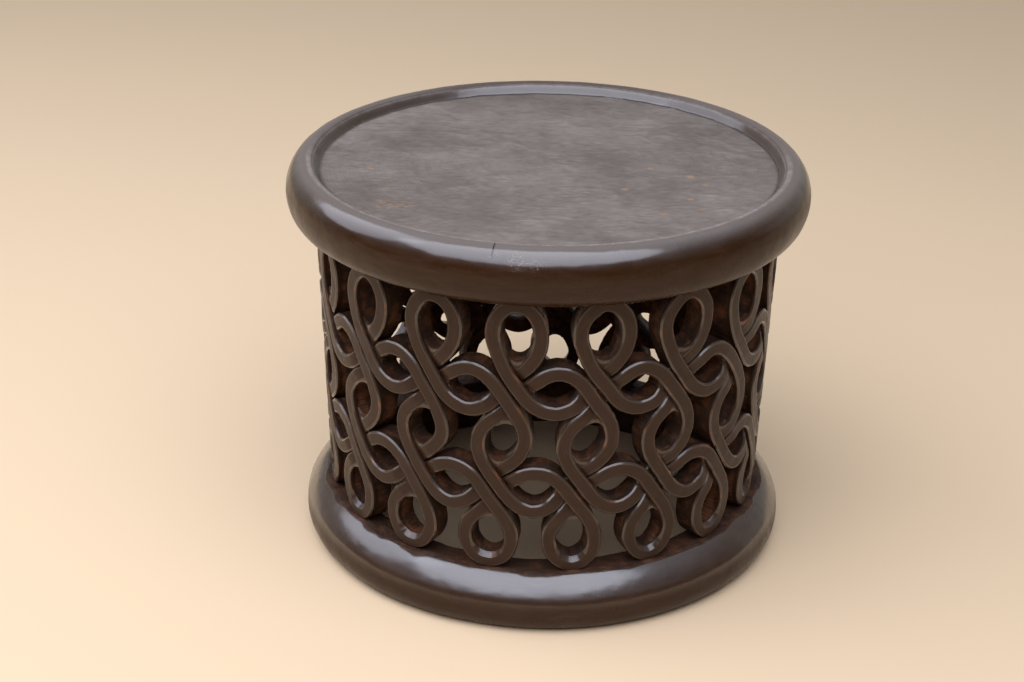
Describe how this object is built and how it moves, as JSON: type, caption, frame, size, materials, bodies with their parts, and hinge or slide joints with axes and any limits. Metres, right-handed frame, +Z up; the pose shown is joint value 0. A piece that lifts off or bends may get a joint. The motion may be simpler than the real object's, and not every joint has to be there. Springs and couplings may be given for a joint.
{
  "type": "drum table",
  "caption": "Low round drum table with a dished tray, a fat rolled rim, a pierced wall of interlaced bands and a rounded base ring.",
  "frame": {"origin": "on the floor, at the middle of the base ring", "axes": "+Z up along the drum's axis; -Y towards the side that is seen"},
  "size_m": [0.56, 0.56, 0.4308],
  "materials": {
    "tray_wood": "dark stained hardwood, dry and tool marked on the tray floor, waxed on the rim",
    "wall_wood": "dark stained and waxed hardwood, hand carved",
    "base_wood": "dark stained and waxed hardwood, rubbed on the bulge"
  },
  "bodies": {
    "root": {"tray_top": "tray_wood", "upper_strand": "wall_wood", "ring_link_01": "wall_wood", "ring_link_02": "wall_wood", "ring_link_03": "wall_wood", "ring_link_04": "wall_wood", "ring_link_05": "wall_wood", "ring_link_06": "wall_wood", "ring_link_07": "wall_wood", "ring_link_08": "wall_wood", "ring_link_09": "wall_wood", "ring_link_10": "wall_wood", "ring_link_11": "wall_wood", "ring_link_12": "wall_wood", "ring_link_13": "wall_wood", "ring_link_14": "wall_wood", "ring_link_15": "wall_wood", "ring_link_16": "wall_wood", "ring_link_17": "wall_wood", "lower_strand": "wall_wood", "base_ring": "base_wood"}
  },
  "joints": []
}
